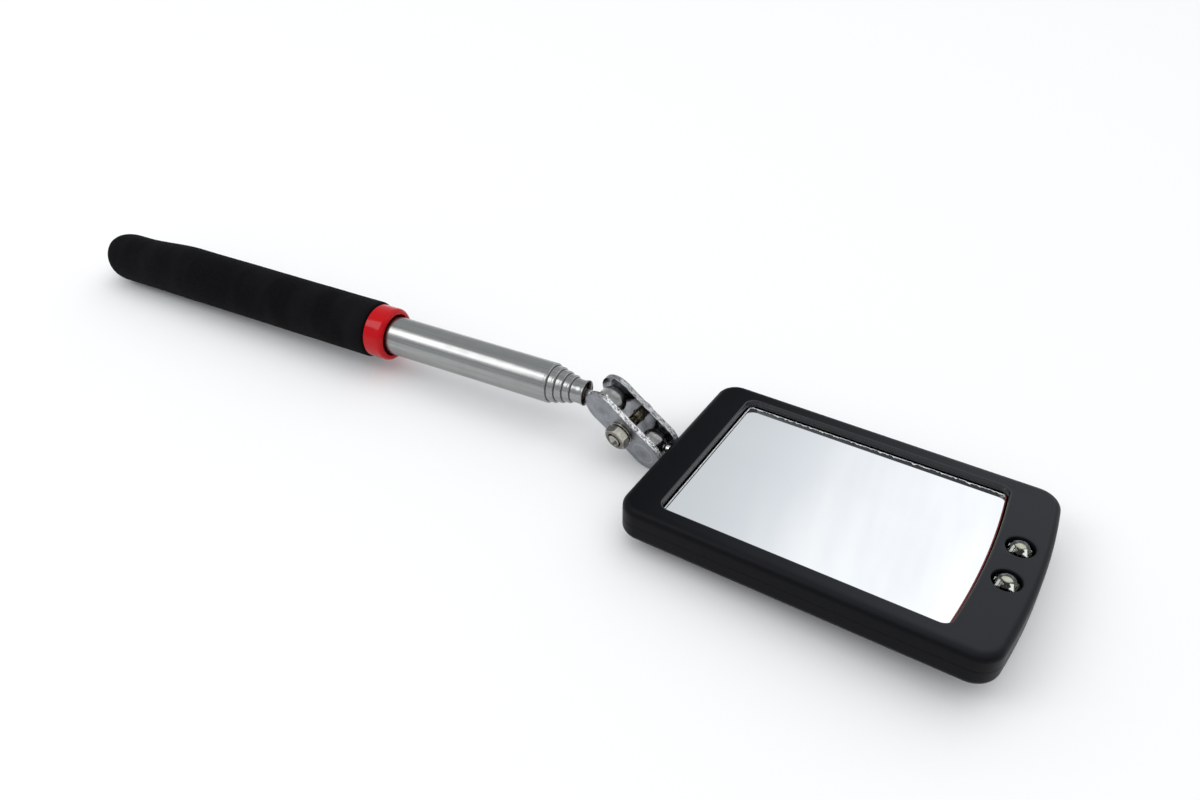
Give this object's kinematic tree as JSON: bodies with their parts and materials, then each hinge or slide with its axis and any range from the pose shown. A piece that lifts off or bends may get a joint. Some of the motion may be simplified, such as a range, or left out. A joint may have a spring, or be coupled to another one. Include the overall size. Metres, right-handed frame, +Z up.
{
  "type": "telescoping inspection mirror",
  "caption": "Lit rectangular inspection mirror on a double ball-joint link at the tip of a telescoping steel rod with a foam grip.",
  "frame": {"origin": "bottom centre of the whole outline, on the bench that the tool lies on, with the rod closed", "axes": "+X from the grip's rear end towards the lamp end of the head, +Z up from the bench; the rod lies about 5 degrees off X"},
  "size_m": [0.264, 0.0542, 0.0186],
  "materials": {
    "foam": "matte closed-cell foam with a fine grain",
    "red_plastic": "glossy moulded plastic",
    "black_plastic": "fine satin moulded plastic",
    "tube_steel": "drawn stainless tube, satin, brushed along its length",
    "polished_steel": "polished turned steel",
    "plated_steel": "zinc-plated stamped steel with sheared edges",
    "nickel": "nickel plate, slightly warm",
    "bronze": "thin sprung phosphor bronze",
    "mirror": "back-silvered float glass",
    "lens": "clear cast epoxy",
    "board": "black solder mask",
    "pad": "double-sided foam tape",
    "cell_steel": "nickel-plated battery can",
    "wire_red": "vinyl insulation",
    "wire_black": "vinyl insulation"
  },
  "bodies": {
    "handle": {"foam_grip": "foam", "red_collar": "red_plastic", "tube_plug": "black_plastic", "tube_1": "tube_steel"},
    "tube_2": {"tube_2": "tube_steel", "tube_bush_2": "bronze"},
    "tube_3": {"tube_3": "tube_steel", "tube_bush_3": "bronze"},
    "tube_4": {"tube_4": "tube_steel", "tube_bush_4": "bronze"},
    "tube_5": {"tube_5": "tube_steel", "tube_bush_5": "bronze"},
    "rod_stem": {"rod_stem": "polished_steel"},
    "rod_ball": {"rod_ball": "polished_steel"},
    "link": {"link_plate_near": "plated_steel", "link_plate_far": "plated_steel", "clamp_screw": "nickel", "clamp_washer": "nickel", "clamp_nut": "nickel"},
    "head_ball": {"head_ball": "polished_steel"},
    "head_stem": {"head_stem": "polished_steel"},
    "head": {"front_bezel": "black_plastic", "rear_cover": "black_plastic", "mirror_glass": "mirror", "mirror_pad": "pad", "lamp_near": "lens", "lamp_far": "lens", "lamp_board": "board", "battery_holder": "black_plastic", "coin_cell_near": "cell_steel", "coin_cell_far": "cell_steel", "battery_contact_near": "nickel", "battery_contact_far": "nickel", "switch_body": "plated_steel", "wire_near": "wire_red", "wire_far": "wire_black", "cover_screw_1": "nickel", "cover_screw_2": "nickel", "cover_screw_3": "nickel", "cover_screw_4": "nickel"},
    "battery_door": {"battery_door": "black_plastic", "bridge_contact": "nickel"},
    "switch_slider": {"switch_slider": "black_plastic"}
  },
  "joints": [
    {"name": "tube_2_slide", "type": "slide", "parent": "handle", "child": "tube_2", "axis": [0.9956, 0.0865, 0.0359], "range_m": [0, 0.125]},
    {"name": "tube_3_slide", "type": "slide", "parent": "tube_2", "child": "tube_3", "axis": [0.9956, 0.0865, 0.0359], "range_m": [0, 0.125]},
    {"name": "tube_4_slide", "type": "slide", "parent": "tube_3", "child": "tube_4", "axis": [0.9956, 0.0865, 0.0359], "range_m": [0, 0.125]},
    {"name": "tube_5_slide", "type": "slide", "parent": "tube_4", "child": "tube_5", "axis": [0.9956, 0.0865, 0.0359], "range_m": [0, 0.125]},
    {"name": "rod_swivel", "type": "hinge", "parent": "tube_5", "child": "rod_stem", "pos_m": [0.03218, 0.00044, 0.01305], "axis": [0.9956, 0.0865, 0.0359], "continuous": true},
    {"name": "rod_ball_sideways", "type": "hinge", "parent": "rod_stem", "child": "rod_ball", "pos_m": [0.03218, 0.00044, 0.01305], "axis": [-0.0208, -0.1687, 0.9854], "range_deg": [-1.43, 28.57]},
    {"name": "rod_ball_fold", "type": "hinge", "parent": "rod_ball", "child": "link", "pos_m": [0.03218, 0.00044, 0.01305], "axis": [-0.1448, -0.9748, -0.17], "range_deg": [-57.21, 122.79]},
    {"name": "head_ball_fold", "type": "hinge", "parent": "link", "child": "head_ball", "pos_m": [0.0439, 0, 0.00558], "axis": [0.1448, 0.9748, 0.17], "range_deg": [-55.67, 124.33]},
    {"name": "head_ball_sideways", "type": "hinge", "parent": "head_ball", "child": "head_stem", "pos_m": [0.0439, 0, 0.00558], "axis": [0.0475, 0.1647, -0.9852], "range_deg": [-1.71, 19.29]},
    {"name": "head_swivel", "type": "hinge", "parent": "head_stem", "child": "head", "pos_m": [0.0439, 0, 0.00558], "axis": [0.9988, 0, 0.0482], "continuous": true},
    {"name": "battery_door_hinge", "type": "hinge", "parent": "head", "child": "battery_door", "pos_m": [0.06988, -0.0003, 0.00244], "axis": [0.0032, 0.9978, -0.0669], "range_deg": [0, 75]},
    {"name": "lamp_switch_slide", "type": "slide", "parent": "head", "child": "switch_slider", "axis": [0.9988, 0, 0.0482], "range_m": [0, 0.0024]}
  ]
}
